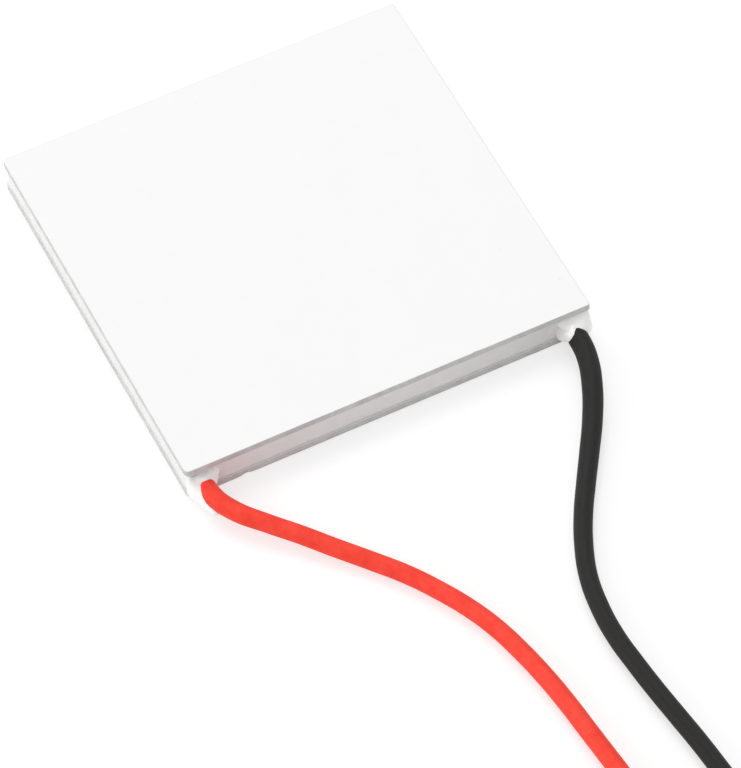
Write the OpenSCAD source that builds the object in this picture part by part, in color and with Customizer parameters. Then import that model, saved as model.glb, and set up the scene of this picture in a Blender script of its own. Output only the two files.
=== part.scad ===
// Thermoelectric cooling module: two ceramic plates with copper tabs on their inner faces, one long chain
// of soldered semiconductor pellets between them, a silicone edge seal and two insulated leads.
// Millimetres. The origin is the middle of the hot side's outer face, +Z points to the cold side, and the
// leads leave the front edge towards -Y: the red, positive one at -X and the black, negative one at +X.

/* [Ceramic plates] */
// Length of each ceramic plate along the front edge, where the leads leave
plate_l = 40; // [36:1:62]
// Width of each ceramic plate from the front edge to the back edge
plate_w = 40; // [36:1:62]
// Thickness of each ceramic plate
plate_t = 0.7; // [0.5:0.05:1]
// Radius of the plates' upright corners
plate_corner_r = 0.3; // [0.2:0.1:1]

/* [Couples] */
// Pellet sites along each side of the grid, an even number so that both leads end at the front
grid_n = 16; // [12:2:18]
// Side of each square pellet
pellet_w = 1.4; // [1:0.1:1.6]
// Height of each pellet, with the solder at its two ends
pellet_h = 1.8; // [1.6:0.1:2.6]
// Thickness of the copper tabs
tab_t = 0.3; // [0.2:0.05:0.5]
// Rim of each copper tab round the pellets that stand on it
tab_rim = 0.2; // [0.1:0.05:0.3]

/* [Edge seal] */
// Width of the silicone bead between the plates' edges
seal_w = 0.85; // [0.5:0.05:1.5]
// Distance of the bead's outer face from the plates' edge
seal_inset = 0.1; // [0:0.05:0.3]
// Depth of the hollow along the middle of the bead's outer face
seal_dip = 0.12; // [0.05:0.01:0.3]
// Clearance between the bead and the copper tabs
seal_gap = 0.15; // [0.05:0.05:0.5]

/* [Leads] */
// Outside diameter of each lead's insulation
lead_d = 1.7; // [1.3:0.1:2]
// Diameter of the tinned conductor inside the insulation
core_d = 0.76; // [0.5:0.02:1]
// Length of each lead from the seal to its bare tip
lead_l = 150; // [130:5:350]
// Distance of the red lead's axis from its end of the front edge
red_inset = 1.7; // [1.5:0.1:2.2]
// Distance of the black lead's axis from its end of the front edge
black_inset = 2; // [1.5:0.1:2.2]
// Depth to which the insulation runs in under the cold side's edge
lead_entry = 0.3; // [0:0.05:0.6]
// Clearance between the insulation and the hot side plate
lead_lift = 0.05; // [0:0.01:0.2]
// Length of bare tinned conductor at each lead's free end
bare_l = 6; // [3:0.5:12]
// Distance across a lead's storage coil at the middle of its turns, in lead diameters
coil_ratio = 11; // [10:0.5:14]

/* [Lead joints] */
// Length of the conductor inside the plates
core_reach = 2.4; // [2:0.1:2.8]
// Length of the solder joint on each terminal tab
solder_l = 1.3; // [0.8:0.1:1.6]
// Foot width of the solder joint on each terminal tab
solder_w = 1.2; // [0.9:0.05:1.25]
// Thickness of solder over the conductor
solder_cap = 0.12; // [0.05:0.01:0.2]
// Width of the silicone plug in the seal round each lead
plug_w = 3.4; // [3.1:0.1:4]
// Clearance between a lead and the silicone moulded round it
plug_gap = 0.02; // [0.01:0.01:0.1]
// Distance that the lead plugs keep from the two outer faces of the module
plug_flush = 0.1; // [0:0.05:0.4]

/* [Hidden] */
// Levels of the stack, from the hot side's outer face up
hot_tab_z = plate_t;
pellet_z = hot_tab_z + tab_t;
cold_tab_z = pellet_z + pellet_h;
cold_plate_z = cold_tab_z + tab_t;
body_h = cold_plate_z + plate_t;
gap_h = cold_plate_z - plate_t;

// The grid of pellets fills what the edge seal leaves free
seal_l = plate_l - 2 * seal_inset;
seal_b = plate_w - 2 * seal_inset;
tab_w = pellet_w + 2 * tab_rim;
pitch_x = (seal_l - 2 * (seal_w + seal_gap) - tab_w) / (grid_n - 1);
pitch_y = (seal_b - 2 * (seal_w + seal_gap) - tab_w) / (grid_n - 1);

// Leads: places where they leave, their height there and their height on the bench
function lead_x(side) = plate_l / 2 - (side < 0 ? red_inset : black_inset);
lead_y = lead_entry - plate_w / 2;
lead_z = plate_t + lead_lift + lead_d / 2;
rest_z = lead_d / 2;
core_back_y = lead_y + core_reach;

// Centre lines of the free stretches, from the seal to the coil: steps along X and Y from where the lead
// leaves, and the share of its height there that is left
red_steps = [
    [0, 0, 1], [0, -2, 1], [0.9, -4.3, 0.95], [3.05, -6.95, 0.8], [5.1, -9.2, 0.55], [7.3, -11.8, 0.25],
    [9.55, -14.45, 0.05], [11.65, -17.15, 0], [13.35, -19.9, 0], [14.85, -22.8, 0], [16, -25.8, 0],
    [16.8, -28.9, 0], [17.4, -32, 0], [17.85, -35.3, 0], [18.15, -38.5, 0], [18.45, -41.7, 0],
    [18.7, -44.6, 0], [18.7, -47.5, 0]
];
black_steps = [
    [0, 0, 1], [0, -1.9, 1], [-0.25, -4, 0.95], [-1.3, -7, 0.75], [-2.9, -10.1, 0.4], [-4.65, -12.9, 0.1],
    [-6.5, -15.8, 0], [-8.2, -18.6, 0], [-9.65, -21.5, 0], [-10.8, -24.6, 0], [-11.4, -27.8, 0],
    [-11.6, -31.2, 0], [-11.4, -34.5, 0], [-11.1, -37.7, 0], [-10.7, -41, 0], [-10.3, -44.3, 0],
    [-10, -47.6, 0], [-9.7, -50.9, 0], [-9.6, -54.2, 0], [-9.6, -57.4, 0], [-9.6, -60.5, 0]
];

// Silicone round each lead, as dabs, each of them a skin round a few balls: steps outwards and forwards
// from the lead's axis at the front edge, step up from that axis, and radius
red_dabs = [[
    [1.25, 0, 0.7, 0.45], [1.2, 0, -0.85, 0.5], [0.6, 0.3, 0.3, 0.55], [0.65, 1.3, -0.5, 0.7],
    [0.15, 3, -0.65, 0.4]
]];
black_dabs = [
    [[1.45, -0.1, 1, 0.45], [-0.7, -0.1, 1, 0.45], [1.3, 0.2, -0.4, 0.7], [0.5, 0.6, 0.15, 1]],
    [[-0.55, 0.6, -0.15, 0.78], [-0.8, 0.1, -0.3, 0.75]]
];

// Storage coil: it lies on the bench, and the lead runs into it along a straight stretch
coil_r = coil_ratio * lead_d / 2;
coil_run = sqrt(2 * coil_r * lead_d) + 0.1;
coil_rise = 60;
coil_shy = 0.04;

tube_sides = 8;
ball_fn = 24;
reach = 3 * max(plate_l, plate_w);

COLUMNS = [for (c = [1:grid_n]) c];

// Place of a grid site: column 1 is at the red lead's side and row 1 at the front edge
function site(c, r) = [(c - (grid_n + 1) / 2) * pitch_x, (r - (grid_n + 1) / 2) * pitch_y];

// The two front corner sites stay free of pellets, for the lead joints
function has_pellet(c, r) = r > 1 || (c > 1 && c < grid_n);

// The chain starts behind the red lead, runs back and forth column by column and ends behind the black one
function before(c) = c == 1 ? 0 : grid_n - 1 + grid_n * (c - 2);
function place(c, r) = c % 2 == 0 ? grid_n + 1 - r : c == 1 ? r - 1 : r;
function chain(c, r) = before(c) + place(c, r);
function is_odd(i) = i % 2 == 1;

// A link from pellet i of the chain to the next lies on the cold side when i is odd
function first_of(c, r) = min(chain(c, r), chain(c, r + 1));

// Route of a lead, and the sum of its stretches
function route(side, steps) = [
    for (s = steps) [side * lead_x(side) + s[0], lead_y + s[1], rest_z + s[2] * (lead_z - rest_z)]
];
function run(p, i = 1) = i == len(p) ? 0 : norm(p[i] - p[i - 1]) + run(p, i + 1);

// Angle that the lead winds through in its coil, down to where the insulation ends
function wound(p) = (lead_l - bare_l - run(p) - coil_run) / coil_r * 180 / PI;

function unit(v) = v / norm(v);
function along(p, i) = unit(p[min(i + 1, len(p) - 1)] - p[max(i - 1, 0)]);
function ring(p, i, r) =
    let (t = along(p, i), s = unit(cross(t, [0, 0, 1])), u = cross(s, t))
    [for (k = [0:tube_sides - 1]) let (a = 360 * k / tube_sides) p[i] + r * (cos(a) * s + sin(a) * u)];

// A round tube swept along the points of a route
module sweep(p, r) {
    n = tube_sides;
    last = len(p) - 1;
    walls = [
        for (i = [0:last - 1]) for (k = [0:n - 1])
            let (a = i * n + k, b = i * n + (k + 1) % n) each [[a, b, b + n], [a, b + n, a + n]]
    ];
    near_end = [for (k = [n - 1:-1:0]) k];
    far_end = [for (k = [0:n - 1]) last * n + k];
    polyhedron([for (i = [0:last]) each ring(p, i, r)], concat([near_end], walls, [far_end]), 6);
}

module rounded_plate(l, w, r) {
    square([l - 2 * r, w], center = true);
    square([l, w - 2 * r], center = true);
    for (x = [-1, 1]) for (y = [-1, 1]) translate([x * (l / 2 - r), y * (w / 2 - r)]) circle(r, $fn = 48);
}

module ceramic_plate() {
    color("white") linear_extrude(plate_t) rounded_plate(plate_l, plate_w, plate_corner_r);
}

module hot_side_plate() {
    ceramic_plate();
}

module cold_side_plate() {
    translate([0, 0, cold_plate_z]) ceramic_plate();
}

// A link spans the pellets at two sites
module link(a, b) {
    size = [abs(b[0] - a[0]) + tab_w, abs(b[1] - a[1]) + tab_w, tab_t];
    translate([(a[0] + b[0]) / 2, (a[1] + b[1]) / 2, tab_t / 2]) cube(size, center = true);
}

module column_links(cold) {
    for (c = COLUMNS) for (r = [1:grid_n - 1])
        if (has_pellet(c, r) && is_odd(first_of(c, r)) == cold) link(site(c, r), site(c, r + 1));
}

module hot_side_tabs() {
    color("peru") translate([0, 0, hot_tab_z]) column_links(false);
}

// The chain turns from column to column on the cold side only
module cold_side_tabs() {
    color("peru") translate([0, 0, cold_tab_z]) {
        column_links(true);
        for (c = [1:grid_n - 1])
            let (r = is_odd(c) ? grid_n : 1) link(site(c, r), site(c + 1, r));
    }
}

module terminal_tab(c) {
    color("peru") translate([0, 0, hot_tab_z]) link(site(c, 1), site(c, 2));
}

module pellets(c, odd) {
    for (r = [1:grid_n])
        if (has_pellet(c, r) && is_odd(chain(c, r)) == odd)
            translate([site(c, r)[0], site(c, r)[1], pellet_z + pellet_h / 2])
                cube([pellet_w, pellet_w, pellet_h], center = true);
}

module n_pellets(c) {
    color("dimgray") pellets(c, true);
}

module p_pellets(c) {
    color("slategray") pellets(c, false);
}

// A long rod along X at the hollow that runs round the bead
module hollow_rod(half) {
    r = (pow(gap_h / 2, 2) + pow(seal_dip, 2)) / (2 * seal_dip);
    translate([0, half - seal_dip + r, gap_h / 2]) rotate([0, 90, 0])
        cylinder(h = reach, r = r, center = true, $fn = 96);
}

// The corner of the bead that each lead's own plug fills, out to the plates' edge and in past the bead's
// inner face by half its clearance. The cut for it goes over at every free side
module plug_block(side, over = 0) {
    size = [plug_w, seal_inset + seal_w + seal_gap / 2, gap_h];
    translate([side * (seal_l - size[0] + over) / 2, (size[1] - over - plate_w) / 2, plate_t + gap_h / 2])
        cube([size[0] + over, size[1] + over, size[2] + over], center = true);
}

module edge_seal() {
    color("ivory") difference() {
        translate([0, 0, plate_t]) difference() {
            linear_extrude(gap_h) difference() {
                rounded_plate(seal_l, seal_b, max(plate_corner_r - seal_inset, 0.1));
                square([seal_l - 2 * seal_w, seal_b - 2 * seal_w], center = true);
            }
            for (turn = [0, 180]) rotate(turn) {
                hollow_rod(seal_b / 2);
                rotate(90) hollow_rod(seal_l / 2);
            }
        }
        for (side = [-1, 1]) plug_block(side, over = 1);
    }
}

module core_rod(side, r) {
    translate([side * lead_x(side), core_back_y, lead_z]) rotate([90, 0, 0])
        cylinder(h = core_reach, r = r, $fn = 32);
}

module lead_core(side) {
    color("silver") core_rod(side, core_d / 2);
}

// Solder stands on the terminal tab and closes over the conductor
module lead_solder(side) {
    top = lead_z - pellet_z;
    neck = core_d / 2 + solder_cap;
    color("gainsboro") difference() {
        translate([side * lead_x(side), core_back_y - 0.1, pellet_z]) rotate([90, 0, 0])
            linear_extrude(solder_l) {
                polygon([[-solder_w / 2, 0], [solder_w / 2, 0], [neck, top], [-neck, top]]);
                translate([0, top]) circle(neck, $fn = 32);
            }
        core_rod(side, core_d / 2);
        translate([-reach / 2, -reach / 2, pellet_z - reach]) cube(reach);
    }
}

// Each plug fills its corner of the bead and swells out round the lead in front of the plates
module lead_seal(side, dabs, p) {
    color("white") difference() {
        union() {
            plug_block(side);
            difference() {
                for (dab = dabs) hull() for (b = dab)
                    translate([side * (lead_x(side) + b[0]), -plate_w / 2 - b[1], lead_z + b[2]])
                        sphere(b[3], $fn = ball_fn);
                translate([-plate_l / 2, -plate_w / 2, -reach / 2]) cube([plate_l, reach, reach]);
                translate([-reach / 2, -reach / 2, plug_flush - reach]) cube(reach);
                translate([-reach / 2, -reach / 2, body_h - plug_flush]) cube(reach);
            }
        }
        sweep([for (i = [0:3]) p[i]], lead_d / 2 + plug_gap);
        core_rod(side, core_d / 2);
    }
}

module lead(name, p) {
    color(name) sweep(p, lead_d / 2);
}

// Puts a coil's own frame, with the lead running in along -Y at x = coil_r, behind the end of the route
module at_coil(side, p) {
    end = p[len(p) - 1];
    translate([end[0] + side * coil_r, end[1] - coil_run, 0]) mirror([side > 0 ? 1 : 0, 0, 0]) children();
}

// Whole turns lie on each other, and the last part turn and the climb to it lie on top
module lead_coil(name, side, p) {
    whole = floor(wound(p) / 360);
    open = 360 * (whole + 1) - wound(p) - coil_rise;
    color(name) at_coil(side, p) {
        difference() {
            rotate_extrude($fn = 96) translate([coil_r - lead_d / 2, 0]) square([lead_d, (whole + 1) * lead_d]);
            rotate([0, 0, coil_rise]) rotate_extrude(angle = open, $fn = 96)
                translate([coil_r - lead_d, whole * lead_d]) square(2 * lead_d);
        }
        translate([coil_r - lead_d / 2 + coil_shy, 0, 0]) cube([lead_d - 2 * coil_shy, coil_run, lead_d]);
    }
}

// The bare tip carries on in line from where the insulation ends
module lead_tip(side, p) {
    turns = floor(wound(p) / 360);
    tip = bare_l / coil_r * 180 / PI;
    color("silver") at_coil(side, p) rotate([0, 0, -(wound(p) - 360 * turns) - tip])
        rotate_extrude(angle = tip, $fn = 96) translate([coil_r, (turns + 0.5) * lead_d]) circle(core_d / 2, $fn = 24);
}

red_route = route(-1, red_steps);
black_route = route(1, black_steps);

hot_side_plate();
cold_side_plate();
edge_seal();
hot_side_tabs();
cold_side_tabs();
terminal_tab(1);  // positive_terminal_tab
terminal_tab(grid_n);  // negative_terminal_tab
for (c = COLUMNS) {
    n_pellets(c);
    p_pellets(c);
}
lead_core(-1);  // red_lead_core
lead_solder(-1);  // red_lead_solder
lead_seal(-1, red_dabs, red_route);  // red_lead_seal
lead("red", red_route);  // red_lead
lead_coil("red", -1, red_route);  // red_lead_coil
lead_tip(-1, red_route);  // red_lead_tip
lead_core(1);  // black_lead_core
lead_solder(1);  // black_lead_solder
lead_seal(1, black_dabs, black_route);  // black_lead_seal
lead("dimgray", black_route);  // black_lead
lead_coil("dimgray", 1, black_route);  // black_lead_coil
lead_tip(1, black_route);  // black_lead_tip
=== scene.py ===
import math

import bmesh
import bpy
from mathutils import Matrix, Quaternion, Vector, noise


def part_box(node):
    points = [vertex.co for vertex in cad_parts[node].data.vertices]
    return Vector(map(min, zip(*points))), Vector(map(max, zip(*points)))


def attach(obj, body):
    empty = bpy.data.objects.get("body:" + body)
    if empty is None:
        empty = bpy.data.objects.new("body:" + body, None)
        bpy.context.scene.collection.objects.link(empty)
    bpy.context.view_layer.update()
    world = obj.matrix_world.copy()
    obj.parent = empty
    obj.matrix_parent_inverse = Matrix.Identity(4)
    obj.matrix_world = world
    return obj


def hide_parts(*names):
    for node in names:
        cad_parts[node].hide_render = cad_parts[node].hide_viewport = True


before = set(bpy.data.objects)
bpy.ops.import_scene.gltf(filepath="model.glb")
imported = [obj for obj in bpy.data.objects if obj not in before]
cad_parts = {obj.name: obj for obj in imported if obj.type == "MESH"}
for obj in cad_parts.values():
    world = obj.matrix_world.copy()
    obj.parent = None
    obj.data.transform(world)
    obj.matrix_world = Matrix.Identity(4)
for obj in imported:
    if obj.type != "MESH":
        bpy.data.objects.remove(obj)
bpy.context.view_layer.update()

# ---------------------------------------------------------------------------------------------------------
# Camera. It looks down on the module from the front left, half a metre away with a long lens, and leans a
# little to one side.
aim_point = Vector((-0.0002, -0.01618, 0.0))
camera_distance = 0.49692
camera_azimuth, camera_elevation, camera_lean = -22.77, 53.37, -4.056


def stand(name, data, faced, distance, azimuth, elevation, lean=0):
    """A camera or lamp that faces a point from a distance. Its angles are in degrees, round from the front
    and up, and it leans about its own line of sight."""
    azimuth, elevation = math.radians(azimuth), math.radians(elevation)
    outwards = Vector((
        math.sin(azimuth) * math.cos(elevation),
        -math.cos(azimuth) * math.cos(elevation),
        math.sin(elevation),
    ))
    stood = bpy.data.objects.new(name, data)
    stood.location = faced + distance * outwards
    stood.rotation_mode = "QUATERNION"
    facing = (-outwards).to_track_quat("-Z", "Y")
    stood.rotation_quaternion = facing @ Quaternion((0, 0, 1), math.radians(lean))
    bpy.context.scene.collection.objects.link(stood)
    return stood


camera_data = bpy.data.cameras.new("camera")
camera_data.lens = 260.35
camera_data.sensor_width = 36
camera_data.clip_start = 0.01
bpy.context.scene.camera = stand(
    "camera", camera_data, aim_point, camera_distance, camera_azimuth, camera_elevation, camera_lean
)
bpy.context.scene.view_settings.view_transform = "Standard"

# ---------------------------------------------------------------------------------------------------------
# Insulated leads. Each is a stranded conductor in soft vinyl insulation, red for the positive one and black
# for the negative. It leaves low down at its end of the front edge, drops to the bench and runs forwards in
# a loose curve, and its spare length is wound into a small flat coil.
mm = 0.001
lead_d = 1.7 * mm
lead_length = 150 * mm
bare_length = 6 * mm
lead_side = {"red": -1, "black": 1}
exit_x = {"red": -18.3 * mm, "black": 18.0 * mm}
exit_y, exit_z = -19.7 * mm, 1.6 * mm
rest_z = lead_d / 2
coil_r = 5.5 * lead_d
coil_run = math.sqrt(2 * coil_r * lead_d) + 0.1 * mm
coil_step = math.radians(10)
climb_from, climb_to = math.radians(288), math.radians(334)

# Steps along X and Y from the exit, in millimetres, and the share of the exit's height that is left
red_steps = [
    (0, 0, 1), (-0.12, -1.8, 1), (0.9, -4.3, 0.95), (3.05, -6.95, 0.8), (5.1, -9.2, 0.55),
    (7.3, -11.8, 0.25), (9.55, -14.45, 0.05), (11.65, -17.15, 0), (13.35, -19.9, 0), (14.85, -22.8, 0),
    (16, -25.8, 0), (16.8, -28.9, 0), (17.4, -32, 0), (17.85, -35.3, 0), (18.15, -38.5, 0),
    (18.45, -41.7, 0), (18.7, -44.6, 0), (18.7, -47.5, 0),
]
black_steps = [
    (0, 0, 1), (0, -1.9, 1), (-0.25, -4, 0.95), (-1.3, -7, 0.75), (-2.9, -10.1, 0.4), (-4.65, -12.9, 0.1),
    (-6.5, -15.8, 0), (-8.2, -18.6, 0), (-9.65, -21.5, 0), (-10.8, -24.6, 0), (-11.4, -27.8, 0),
    (-11.6, -31.2, 0), (-11.4, -34.5, 0), (-11.1, -37.7, 0), (-10.7, -41, 0), (-10.3, -44.3, 0),
    (-10, -47.6, 0), (-9.7, -50.9, 0), (-9.6, -54.2, 0), (-9.6, -57.4, 0), (-9.6, -60.5, 0),
]
# The soldering heat has left the insulation thicker just past the exit: by what share of its thickness, and
# how far along the lead that can be seen
swollen = {"red": (0.12, 9 * mm), "black": (0.15, 26 * mm)}
swell_rise = 1.5 * mm


def eased(t):
    """0 up to t = 0, 1 from t = 1 on, and a smooth rise between them."""
    t = min(max(t, 0), 1)
    return t * t * (3 - 2 * t)


def coil_point(centre, side, angle):
    """A point of the coil at the angle wound so far: the second turn climbs on to the first."""
    height = rest_z + lead_d * eased((angle - climb_from) / (climb_to - climb_from))
    return Vector((centre.x - side * coil_r * math.cos(angle), centre.y - coil_r * math.sin(angle), height))


def lead_line(colour, steps):
    """The points of a lead's centre line, the middle of its coil and the angle that it winds through."""
    side = lead_side[colour]
    points = [
        Vector((exit_x[colour] + x * mm, exit_y + y * mm, rest_z + share * (exit_z - rest_z)))
        for x, y, share in steps
    ]
    run = sum((b - a).length for a, b in zip(points, points[1:]))
    wound = (lead_length - bare_length - run - coil_run) / coil_r
    centre = points[-1] + Vector((side * coil_r, -coil_run, 0))
    points.append(points[-1] - Vector((0, coil_run / 2, 0)))
    stretches = math.ceil(wound / coil_step)
    points += [coil_point(centre, side, wound * i / stretches) for i in range(stretches + 1)]
    return points, centre, wound


def wire_curve(name, lines, radius, roundness, smoothness):
    """Round wires of one radius along lines of points, as one curve object."""
    curve = bpy.data.curves.new(name, "CURVE")
    curve.dimensions = "3D"
    curve.bevel_depth = radius
    curve.bevel_resolution = roundness
    curve.resolution_u = smoothness
    curve.use_fill_caps = True
    for line in lines:
        spline = curve.splines.new("BEZIER")
        spline.bezier_points.add(len(line) - 1)
        for point, place in zip(spline.bezier_points, line):
            point.co = place
            point.handle_left_type = point.handle_right_type = "AUTO"
    wire = bpy.data.objects.new(name, curve)
    bpy.context.scene.collection.objects.link(wire)
    return wire


def effect_group(name, inputs, output, kind):
    """An empty shader node group with named number inputs and one output, and its two end nodes."""
    group = bpy.data.node_groups.new(name, "ShaderNodeTree")
    for label in inputs:
        group.interface.new_socket(name=label, in_out="INPUT", socket_type="NodeSocketFloat")
    group.interface.new_socket(name=output, in_out="OUTPUT", socket_type=kind)
    return group, group.nodes.new("NodeGroupInput"), group.nodes.new("NodeGroupOutput")


def node(tree, kind, sockets=None, **settings):
    """A shader node with its settings, and its sockets set or linked by name or number."""
    made = tree.nodes.new("ShaderNode" + kind)
    for key, value in settings.items():
        setattr(made, key, value)
    for key, value in (sockets or {}).items():
        if isinstance(value, bpy.types.NodeSocket):
            tree.links.new(value, made.inputs[key])
        else:
            made.inputs[key].default_value = value
    return made


def sized_noise(tree, size, **sockets):
    """Noise that is fixed to the piece, with lumps of a real size."""
    place = node(tree, "TexCoord")
    scale = node(tree, "Math", {0: 1.0, 1: size}, operation="DIVIDE")
    return node(tree, "TexNoise", {"Vector": place.outputs["Object"], "Scale": scale.outputs[0], **sockets})


# Cloudy change of tone over a surface, as moulded and fired materials have
cloud_group, cloud_in, cloud_out = effect_group(
    "cloudy_tone", ["Size", "Contrast"], "Mask", "NodeSocketFloat"
)
clouds = sized_noise(cloud_group, cloud_in.outputs["Size"], Detail=4.0, Roughness=0.6)
centred = node(cloud_group, "Math", {0: clouds.outputs["Fac"], 1: 0.5}, operation="SUBTRACT")
spread = node(cloud_group, "Math", {
    0: centred.outputs[0], 1: cloud_in.outputs["Contrast"], 2: 0.5
}, operation="MULTIPLY_ADD", use_clamp=True)
cloud_group.links.new(spread.outputs[0], cloud_out.inputs["Mask"])

# Fine unevenness of a surface, as a change of its normal
ripple_group, ripple_in, ripple_out = effect_group(
    "fine_ripple", ["Size", "Height"], "Normal", "NodeSocketVector"
)
waves = sized_noise(ripple_group, ripple_in.outputs["Size"], Detail=3.0)
raised = node(ripple_group, "Bump", {
    "Strength": 1.0, "Distance": ripple_in.outputs["Height"], "Height": waves.outputs["Fac"]
})
ripple_group.links.new(raised.outputs["Normal"], ripple_out.inputs["Normal"])


def effect(tree, group, **inputs):
    """One placed copy of an effect group with its own values."""
    made = tree.nodes.new("ShaderNodeGroup")
    made.node_tree = group
    for label, value in inputs.items():
        made.inputs[label].default_value = value
    return made


def blend_colour(tree, mask, first, second):
    """The socket of a colour that goes from first to second as the mask rises."""
    mix = node(tree, "Mix", {0: mask}, data_type="RGBA")
    for socket, value in ((mix.inputs[6], first), (mix.inputs[7], second)):
        if isinstance(value, bpy.types.NodeSocket):
            tree.links.new(value, socket)
        else:
            socket.default_value = (*value, 1)
    return mix.outputs[2]


def mottled(name, dark, light, clouds, roughness, ripple, **plain):
    """A material that drifts between a dark and a light tone and between two roughnesses. Its clouds are a
    size and a contrast, and its ripple is a size and a height."""
    material = bpy.data.materials.new(name)
    material.use_nodes = True
    tree = material.node_tree
    shader = tree.nodes["Principled BSDF"]
    cloud = effect(tree, cloud_group, Size=clouds[0], Contrast=clouds[1])
    tree.links.new(blend_colour(tree, cloud.outputs["Mask"], dark, light), shader.inputs["Base Color"])
    patch = node(tree, "MapRange", {
        "Value": cloud.outputs["Mask"], "To Min": roughness[0], "To Max": roughness[1]
    })
    tree.links.new(patch.outputs["Result"], shader.inputs["Roughness"])
    uneven = effect(tree, ripple_group, Size=ripple[0], Height=ripple[1])
    tree.links.new(uneven.outputs["Normal"], shader.inputs["Normal"])
    for label, value in plain.items():
        shader.inputs[label.replace("_", " ")].default_value = value
    return material


red_vinyl = mottled(
    "red_vinyl", dark=(0.90, 0.050, 0.030), light=(1.0, 0.078, 0.050), clouds=(1.2 * mm, 3.0),
    roughness=(0.5, 0.62), ripple=(0.35 * mm, 0.006 * mm), Specular_IOR_Level=0.15,
)
black_vinyl = mottled(
    "black_vinyl", dark=(0.017, 0.017, 0.017), light=(0.024, 0.024, 0.023), clouds=(0.8 * mm, 3.0),
    roughness=(0.5, 0.68), ripple=(0.3 * mm, 0.006 * mm), Specular_IOR_Level=0.15,
)

leads = {}
for colour, steps, vinyl in (("red", red_steps, red_vinyl), ("black", black_steps, black_vinyl)):
    line, coil_centre, wound = lead_line(colour, steps)
    insulation = wire_curve(f"{colour}_insulation", [line], lead_d / 2, roundness=8, smoothness=8)
    extra, reach = swollen[colour]
    gone = 0
    for i, point in enumerate(insulation.data.splines[0].bezier_points):
        gone += (line[i] - line[max(i - 1, 0)]).length
        point.radius = 1 + extra * eased(gone / swell_rise) * eased(1 - gone / reach)
        point.co.z += (point.radius - 1) * lead_d / 2
    insulation.data.materials.append(vinyl)
    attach(insulation, "root")
    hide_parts(f"{colour}_lead", f"{colour}_lead_coil")
    leads[colour] = {"insulation": insulation, "exit": line[0], "centre": coil_centre, "wound": wound}

# ---------------------------------------------------------------------------------------------------------
# Stripped tips. The last six millimetres of each lead are bare: seven tinned copper strands, six of them
# twisted round the seventh and dipped in solder at the very end.
strand_d = 0.254 * mm
strand_count = 7
strand_stretches = 24
twist_length = 9 * mm

tinned = mottled(
    "tinned_copper", dark=(0.55, 0.55, 0.54), light=(0.80, 0.80, 0.79), clouds=(0.5 * mm, 3.0),
    roughness=(0.22, 0.42), ripple=(0.12 * mm, 0.004 * mm), Metallic=1.0,
)
for colour, lead in leads.items():
    strands = []
    for strand in range(strand_count):
        line = []
        for i in range(strand_stretches + 1):
            gone = bare_length * i / strand_stretches
            middle = coil_point(lead["centre"], lead_side[colour], lead["wound"] + gone / coil_r)
            outwards = (middle - lead["centre"]).to_2d().to_3d().normalized()
            twist = math.tau * (strand / (strand_count - 1) + gone / twist_length)
            beside = strand_d * (math.cos(twist) * outwards + Vector((0, 0, math.sin(twist))))
            line.append(middle + beside if strand else middle)
        strands.append(line)
    tip = wire_curve(f"{colour}_bare_tip", strands, strand_d / 2, roundness=3, smoothness=3)
    tip.data.materials.append(tinned)
    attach(tip, "root")
    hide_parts(f"{colour}_lead_tip")

# ---------------------------------------------------------------------------------------------------------
# Ceramic plates. Two tiles of white alumina, ground flat on both faces. They are scribed and snapped from a
# larger sheet, so their edges are a little rough, with the odd small chip. Their sides are greyer than the
# faces, partly from the scribed edge's own tone and partly from painted shade.
tile_corner_r = (0.55 * mm, 0.2 * mm, 0.5 * mm, 0.25 * mm)
corner_steps = 6
tile_cuts = 110
tile_edge = 0.05 * mm
snap_depth = 0.018 * mm
snap_size = 0.7 * mm

# Small scattered spots: Share is how much of the surface they take
spot_group, spot_in, spot_out = effect_group("fine_spots", ["Size", "Share"], "Mask", "NodeSocketFloat")
flecks = sized_noise(spot_group, spot_in.outputs["Size"], Detail=1.0)
threshold = node(spot_group, "Math", {0: 0.82, 1: spot_in.outputs["Share"]}, operation="SUBTRACT")
above = node(spot_group, "Math", {0: flecks.outputs["Fac"], 1: threshold.outputs[0]}, operation="SUBTRACT")
sharp = node(spot_group, "Math", {0: above.outputs[0], 1: 14.0}, operation="MULTIPLY", use_clamp=True)
spot_group.links.new(sharp.outputs[0], spot_out.inputs["Mask"])


def lay_over(material, mask, colour):
    """Lays a colour over a material's own where the mask is 1."""
    tree = material.node_tree
    base_colour = tree.nodes["Principled BSDF"].inputs["Base Color"]
    tree.links.new(blend_colour(tree, mask, base_colour.links[0].from_socket, colour), base_colour)


alumina = mottled(
    "alumina_face", dark=(0.885, 0.885, 0.885), light=(0.915, 0.915, 0.915), clouds=(5 * mm, 2.2),
    roughness=(0.5, 0.62), ripple=(0.12 * mm, 0.0012 * mm),
)
specks = effect(alumina.node_tree, spot_group, Size=0.55 * mm, Share=0.02)
lay_over(alumina, specks.outputs["Mask"], (0.78, 0.78, 0.775))
# The sides' darker grey is partly the scribed edge's own tone and partly painted shade
shaded_alumina_edge = mottled(
    "shaded_alumina_edge", dark=(0.55, 0.55, 0.55), light=(0.68, 0.68, 0.68), clouds=(1.2 * mm, 3.0),
    roughness=(0.7, 0.85), ripple=(0.1 * mm, 0.01 * mm),
)


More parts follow.
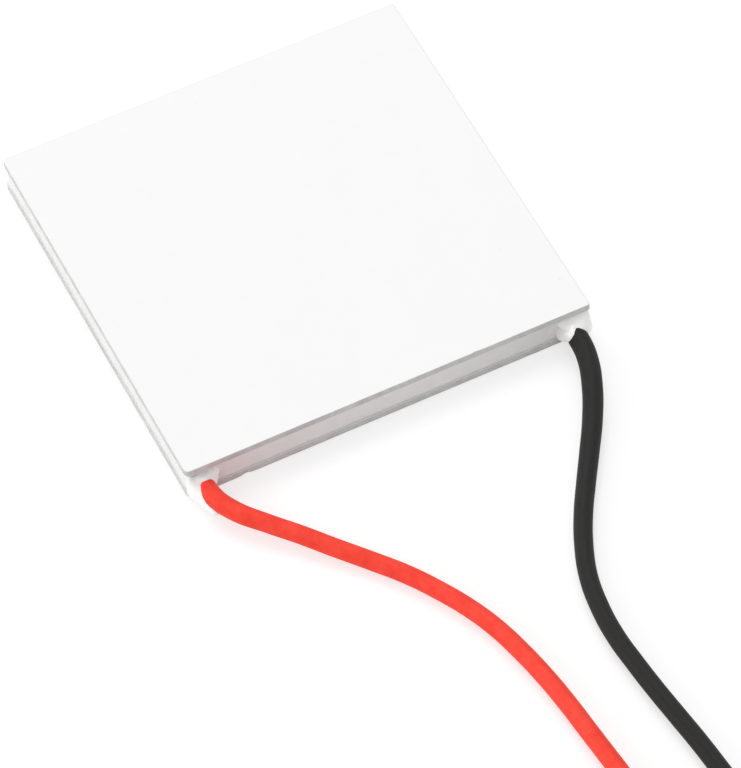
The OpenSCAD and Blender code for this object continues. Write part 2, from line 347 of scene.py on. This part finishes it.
def rounded_outline(low, high, corner_r, cuts):
    """A flat face at the low corner's height, with its long sides cut into short steps. The radii are those
    of the front left, front right, back left and back right corners."""
    bm = bmesh.new()
    bmesh.ops.create_grid(bm, x_segments=1, y_segments=1, size=0.5)
    middle = (low + high) / 2
    bmesh.ops.scale(bm, vec=(high.x - low.x, high.y - low.y, 1), verts=bm.verts)
    bmesh.ops.translate(bm, vec=(middle.x, middle.y, low.z), verts=bm.verts)
    corners = sorted(bm.verts, key=lambda v: (v.co.y > middle.y, v.co.x > middle.x))
    for corner, radius in zip(corners, corner_r):
        bmesh.ops.bevel(
            bm, geom=[corner], offset=radius, offset_type="OFFSET", segments=corner_steps, profile=0.5,
            affect="VERTICES", material=-1,
        )
    long_sides = [e for e in bm.edges if e.calc_length() > 2 * mm]
    bmesh.ops.subdivide_edges(bm, edges=long_sides, cuts=cuts)
    return bm


def piece_from(bm, name, *materials):
    """A finished mesh object in the scene."""
    mesh = bpy.data.meshes.new(name)
    bm.to_mesh(mesh)
    bm.free()
    piece = bpy.data.objects.new(name, mesh)
    for material in materials:
        mesh.materials.append(material)
    bpy.context.scene.collection.objects.link(piece)
    return piece


def ceramic_tile(name, cad_node, chips):
    """A tile with softened, slightly uneven edges. Each chip is its place on the rim, size and depth."""
    low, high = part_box(cad_node)
    thickness = high.z - low.z
    bm = rounded_outline(low, high, tile_corner_r, tile_cuts)
    grown = bmesh.ops.extrude_face_region(bm, geom=bm.faces[:])["geom"]
    top = [g for g in grown if isinstance(g, bmesh.types.BMVert)]
    bmesh.ops.translate(bm, vec=(0, 0, thickness), verts=top)
    bmesh.ops.recalc_face_normals(bm, faces=bm.faces)
    for face in bm.faces:
        face.material_index = 0 if abs(face.normal.z) > 0.5 else 1
    rims = [e for e in bm.edges if abs(e.verts[0].co.z - e.verts[1].co.z) < tile_edge / 10]
    bmesh.ops.bevel(
        bm, geom=rims, offset=tile_edge, offset_type="OFFSET", segments=2, profile=0.5, affect="EDGES",
        material=1, clamp_overlap=True,
    )
    upright = [e for e in bm.edges if abs(e.verts[0].co.z - e.verts[1].co.z) > thickness / 2]
    bmesh.ops.subdivide_edges(bm, edges=upright, cuts=3, use_grid_fill=True)
    other_snap = Vector((0, 0, 7 * high.z / mm))
    for v in bm.verts:
        inwards = Vector((-v.co.x, -v.co.y, 0)).normalized()
        rough = 0.5 + 0.5 * noise.noise(v.co / snap_size + other_snap)
        v.co += inwards * snap_depth * min(max(rough, 0), 1)
        for chip_place, chip_size, chip_depth in chips:
            near = 1 - (v.co - Vector(chip_place)).length / chip_size
            v.co += inwards * chip_depth * eased(near)
    tile = piece_from(bm, name, alumina, shaded_alumina_edge)
    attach(tile, "root")
    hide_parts(cad_node)


ceramic_tile("hot_side_tile", "hot_side_plate", [
    ((-14.3 * mm, -20 * mm, 0.0), 0.7 * mm, 0.2 * mm),
])
ceramic_tile("cold_side_tile", "cold_side_plate", [
    ((8.6 * mm, -20 * mm, 3.8 * mm), 0.45 * mm, 0.08 * mm),
])

# ---------------------------------------------------------------------------------------------------------
# Edge seal. A bead of white silicone run round between the plates' edges by hand, so its face is hollow and
# a little wavy. It lies deeper beside the red lead and has a dimple where the black lead's plug starts.
bead_inset = 0.1 * mm
bead_depth = 0.85 * mm
bead_corner_r = 0.4 * mm
bead_cuts = 130
bead_layers = 10
bead_front_y = -19.9 * mm
hollow_depth = 0.12 * mm
wave_depth, wave_length = 0.05 * mm, 2.2 * mm
scoop_x, scoop_length, scoop_depth = -17.6 * mm, 3.6 * mm, 0.30 * mm
dimple_place = Vector((16.3 * mm, bead_front_y, 2.4 * mm))
dimple_r, dimple_depth = 0.9 * mm, 0.35 * mm

silicone = mottled(
    "white_silicone", dark=(0.80, 0.80, 0.79), light=(0.86, 0.86, 0.85), clouds=(1.5 * mm, 2.5),
    roughness=(0.38, 0.5), ripple=(0.5 * mm, 0.02 * mm),
)


def bead_hollow(spot, z_share):
    """How far the bead's face lies back at a place along it, z_share being -1 below and 1 above."""
    bow = hollow_depth * (1 - z_share * z_share)
    wave = wave_depth * (0.5 + 0.5 * noise.noise(spot / wave_length))
    front = eased(1 - abs(spot.y - bead_front_y) / (1.2 * mm))
    upper = eased((z_share - 0.1) / 0.6)
    scoop = scoop_depth * front * upper * eased(1 - abs(spot.x - scoop_x) / scoop_length)
    dimple = dimple_depth * eased(1 - (spot - dimple_place).length / dimple_r)
    return bow + wave + scoop + dimple


gap_low, gap_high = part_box("hot_side_plate")[1].z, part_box("cold_side_plate")[0].z
bead_low, bead_high = (corner.copy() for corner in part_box("hot_side_plate"))
bead_low.z, bead_high.z = gap_low, gap_high
shrink = Vector((bead_inset, bead_inset, 0))
bead_low, bead_high = bead_low + shrink, bead_high - shrink
bead_middle_z = (bead_low.z + bead_high.z) / 2
bead_height = bead_high.z - bead_low.z
bm = rounded_outline(bead_low, bead_high, [bead_corner_r] * 4, bead_cuts)
bmesh.ops.delete(bm, geom=bm.faces[:], context="FACES_ONLY")
outer_bottom = outer_top = bm.edges[:]
for step in range(bead_layers):
    grown = bmesh.ops.extrude_edge_only(bm, edges=outer_top)["geom"]
    outer_top = [g for g in grown if isinstance(g, bmesh.types.BMEdge)]
    raised_verts = [g for g in grown if isinstance(g, bmesh.types.BMVert)]
    bmesh.ops.translate(bm, vec=(0, 0, bead_height / bead_layers), verts=raised_verts)
for v in bm.verts:
    z_share = 2 * (v.co.z - bead_middle_z) / bead_height
    inwards = Vector((-v.co.x, -v.co.y, 0)).normalized()
    v.co += inwards * bead_hollow(v.co.copy(), z_share)
inner_loops = []
for height in (bead_low.z, bead_high.z):
    square = bmesh.ops.create_grid(bm, x_segments=1, y_segments=1, size=0.5)["verts"]
    bmesh.ops.scale(bm, vec=(
        bead_high.x - bead_low.x - 2 * bead_depth, bead_high.y - bead_low.y - 2 * bead_depth, 1
    ), verts=square)
    bmesh.ops.translate(bm, vec=(0, 0, height), verts=square)
    inner_face = next(f for f in bm.faces if set(f.verts) == set(square))
    inner_loops.append(list(inner_face.edges))
    bmesh.ops.delete(bm, geom=[inner_face], context="FACES_ONLY")
bmesh.ops.bridge_loops(bm, edges=inner_loops[0] + inner_loops[1])
bmesh.ops.bridge_loops(bm, edges=outer_bottom + inner_loops[0])
bmesh.ops.bridge_loops(bm, edges=outer_top + inner_loops[1])
bmesh.ops.recalc_face_normals(bm, faces=bm.faces)
for face in bm.faces:
    face.smooth = abs(face.normal.z) < 0.6
edge_bead = piece_from(bm, "edge_bead", silicone)
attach(edge_bead, "root")
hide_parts("edge_seal")

# ---------------------------------------------------------------------------------------------------------
# Lead plugs. A dab of glossy white silicone closes each corner where a lead leaves and swells out round the
# insulation, so that a pull on the lead doesn't reach the solder joint. It is the edge bead's silicone, and
# its whiter tone is painted light.
plug_grain = 0.07 * mm
plug_smoothings = 12
dab_low, dab_high = 0.1 * mm, 3.7 * mm
front_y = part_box("hot_side_plate")[0].y

# Each dab is a skin round a few balls, given by their steps outwards and forwards from the lead's middle at
# the front edge, their step up from it, and their radius, in millimetres
dabs = {
    "red": [
        [
            (1.25, 0, 0.7, 0.45), (1.2, 0, -0.85, 0.5), (0.6, 0.3, 0.3, 0.55), (0.65, 1.25, -0.1, 0.72),
            (0.65, 1.3, -0.6, 0.7), (0.3, 3, -0.5, 0.48),
        ],
        [
            (0.9, 0.2, 0.6, 0.45), (0.1, 0.35, 0.7, 0.42), (-0.65, 0, 0.6, 0.4), (-0.6, 0.55, 0.1, 0.38),
            (-1.7, -1, 0.5, 0.4),
        ],
    ],
    "black": [
        [(1.5, -0.1, 1.1, 0.4), (-0.9, -0.2, 0.9, 0.4), (1.3, 0.2, -0.4, 0.7), (0.5, 0.6, 0.15, 1)],
        [(-0.43, 1.22, 0.44, 0.62), (-0.8, 0.15, -0.3, 0.7), (0.1, 0.3, 0.6, 0.6)],
        [
            (1.6, -0.45, 1.2, 0.3), (1.6, -0.45, -0.6, 0.3), (-0.2, -0.45, 1.2, 0.3),
            (-0.2, -0.45, -0.6, 0.3), (-2.8, -0.95, 1.2, 0.3), (-2.8, -0.95, -0.6, 0.3),
        ],
    ],
}

# The same silicone as the edge bead, with a whiter tone that is painted light
glossy_silicone_painted_light = mottled(
    "glossy_silicone_painted_light", dark=(0.95, 0.95, 0.94), light=(0.98, 0.98, 0.975), clouds=(1.2 * mm, 2.0),
    roughness=(0.12, 0.2), ripple=(0.9 * mm, 0.03 * mm),
)


def dab_skin(balls):
    """The closed skin round balls, each given by its centre and its radius."""
    bm = bmesh.new()
    for centre, radius in balls:
        bmesh.ops.create_icosphere(bm, subdivisions=4, radius=radius, matrix=Matrix.Translation(centre))
    skin = bmesh.ops.convex_hull(bm, input=bm.verts[:])
    inside = {g for g in skin["geom_interior"] + skin["geom_unused"] if isinstance(g, bmesh.types.BMVert)}
    bmesh.ops.delete(bm, geom=list(inside), context="VERTS")
    mesh = bpy.data.meshes.new("dab")
    bm.to_mesh(mesh)
    bm.free()
    return mesh


def lead_plug(colour):
    """The dabs round a lead run into each other, and between the plates they fill the gap."""
    side = lead_side[colour]
    bm = bmesh.new()
    for dab in dabs[colour]:
        balls = []
        for outwards, forwards, up, radius in dab:
            centre = (exit_x[colour] + side * outwards * mm, front_y - forwards * mm, exit_z + up * mm)
            balls.append((Vector(centre), radius * mm))
        skin = dab_skin(balls)
        bm.from_mesh(skin)
        bpy.data.meshes.remove(skin)
    plug = piece_from(bm, f"{colour}_lead_plug", glossy_silicone_painted_light)
    remesh = plug.modifiers.new("run_together", "REMESH")
    remesh.mode = "VOXEL"
    remesh.voxel_size = plug_grain
    plug.modifiers.new("settle", "SMOOTH").iterations = plug_smoothings
    bpy.context.view_layer.update()
    settled = bpy.data.meshes.new_from_object(plug.evaluated_get(bpy.context.evaluated_depsgraph_get()))
    plug.modifiers.clear()
    bm = bmesh.new()
    bm.from_mesh(settled)
    for v in bm.verts:
        lowest, highest = (gap_low, gap_high) if v.co.y > front_y else (dab_low, dab_high)
        v.co.z = min(max(v.co.z, lowest), highest)
    for face in bm.faces:
        face.smooth = True
    bmesh.ops.recalc_face_normals(bm, faces=bm.faces)
    bm.to_mesh(plug.data)
    bm.free()
    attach(plug, "root")
    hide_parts(f"{colour}_lead_seal")


for colour in leads:
    lead_plug(colour)

# ---------------------------------------------------------------------------------------------------------
# Copper tabs. Flat strips of copper bonded to the plates' inner faces link the pellets into one chain, and
# the two front ones carry the leads. They are tarnished a little at the soldering heat.
copper = mottled(
    "tab_copper", dark=(0.42, 0.19, 0.11), light=(0.72, 0.36, 0.22), clouds=(1.5 * mm, 3.0),
    roughness=(0.28, 0.5), ripple=(0.2 * mm, 0.004 * mm), Metallic=1.0,
)


def give_finish(material, *names):
    """Gives solids of the frame their real material."""
    for name in names:
        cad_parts[name].material_slots[0].material = material


give_finish(copper, "hot_side_tabs", "cold_side_tabs", "positive_terminal_tab", "negative_terminal_tab")

# ---------------------------------------------------------------------------------------------------------
# Pellets. Small blocks sawn from cast bismuth telluride, n-type and p-type in turn, plated with nickel at
# their ends. Their sawn sides are dull grey with the shine of the crystal showing through.
n_alloy = mottled(
    "n_telluride", dark=(0.20, 0.20, 0.21), light=(0.38, 0.38, 0.40), clouds=(0.4 * mm, 4.0),
    roughness=(0.3, 0.55), ripple=(0.1 * mm, 0.008 * mm), Metallic=0.85,
)
p_alloy = mottled(
    "p_telluride", dark=(0.17, 0.18, 0.20), light=(0.33, 0.35, 0.38), clouds=(0.55 * mm, 4.0),
    roughness=(0.32, 0.6), ripple=(0.1 * mm, 0.008 * mm), Metallic=0.85,
)
give_finish(n_alloy, *[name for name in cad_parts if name.startswith("n_pellets")])
give_finish(p_alloy, *[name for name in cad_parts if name.startswith("p_pellets")])

# ---------------------------------------------------------------------------------------------------------
# Lead joints. Each tinned conductor lies on its terminal tab, and a fillet of solder holds it there. The
# joint is made before the silicone goes on, so it is still bright.
solder = mottled(
    "solder", dark=(0.50, 0.50, 0.50), light=(0.70, 0.70, 0.69), clouds=(0.4 * mm, 3.0),
    roughness=(0.2, 0.38), ripple=(0.3 * mm, 0.01 * mm), Metallic=1.0,
)
for colour in leads:
    give_finish(solder, f"{colour}_lead_solder")
    give_finish(tinned, f"{colour}_lead_core")

# ---------------------------------------------------------------------------------------------------------
# Bench and light. A wide white sheet lies under the module. One large soft lamp stands high up behind it
# and another low down on its left, and most of the light comes evenly from all round.
bench_size = 6.0
bench_drop = 0.02 * mm
lamp_distance, lamp_width = 1.6, 0.9
lamp_places = {"high_lamp": (165, 58), "low_lamp": (-108, 20)}
lamp_watts = {"high_lamp": 7.2, "low_lamp": 8.5}

paper = bpy.data.materials.new("white_paper")
paper.use_nodes = True
tree = paper.node_tree
tree.nodes.remove(tree.nodes["Principled BSDF"])
plain_paper = node(tree, "BsdfDiffuse", {"Color": (0.88, 0.88, 0.88, 1)})
shaded_paper = node(tree, "BsdfDiffuse", {"Color": (0.45, 0.45, 0.45, 1)})
glow = node(tree, "Emission", {"Color": (1, 1, 1, 1), "Strength": 0.61})
bright_paper = node(tree, "AddShader", {0: shaded_paper.outputs[0], 1: glow.outputs[0]})


def seen_directly(tree):
    """1 for the camera's rays and for what shows in gloss or through glass, and 0 for light that falls."""
    path = node(tree, "LightPath")
    some = node(tree, "Math", {
        0: path.outputs["Is Camera Ray"], 1: path.outputs["Is Glossy Ray"]
    }, operation="MAXIMUM")
    return node(tree, "Math", {
        0: some.outputs[0], 1: path.outputs["Is Transmission Ray"]
    }, operation="MAXIMUM").outputs[0]


sheet_mix = node(tree, "MixShader", {
    0: seen_directly(tree), 1: plain_paper.outputs[0], 2: bright_paper.outputs[0]
})
tree.links.new(sheet_mix.outputs[0], tree.nodes["Material Output"].inputs["Surface"])
bm = bmesh.new()
bmesh.ops.create_grid(bm, x_segments=1, y_segments=1, size=bench_size / 2)
bmesh.ops.translate(bm, vec=(0, 0, -bench_drop), verts=bm.verts)
bench = piece_from(bm, "bench", paper)

world = bpy.data.worlds.new("room")
bpy.context.scene.world = world
world.use_nodes = True
tree = world.node_tree
room_light = tree.nodes["Background"]
room_light.inputs["Color"].default_value = (0.69, 0.69, 0.69, 1)
white_room = node(tree, "Background", {"Color": (1, 1, 1, 1), "Strength": 1.0})
room_mix = node(tree, "MixShader", {
    0: seen_directly(tree), 1: room_light.outputs[0], 2: white_room.outputs[0]
})
tree.links.new(room_mix.outputs[0], tree.nodes["World Output"].inputs["Surface"])

for name, (azimuth, elevation) in lamp_places.items():
    light = bpy.data.lights.new(name, "AREA")
    light.shape = "DISK"
    light.size = lamp_width
    light.energy = lamp_watts[name]
    stand(name, light, Vector(), lamp_distance, azimuth, elevation)
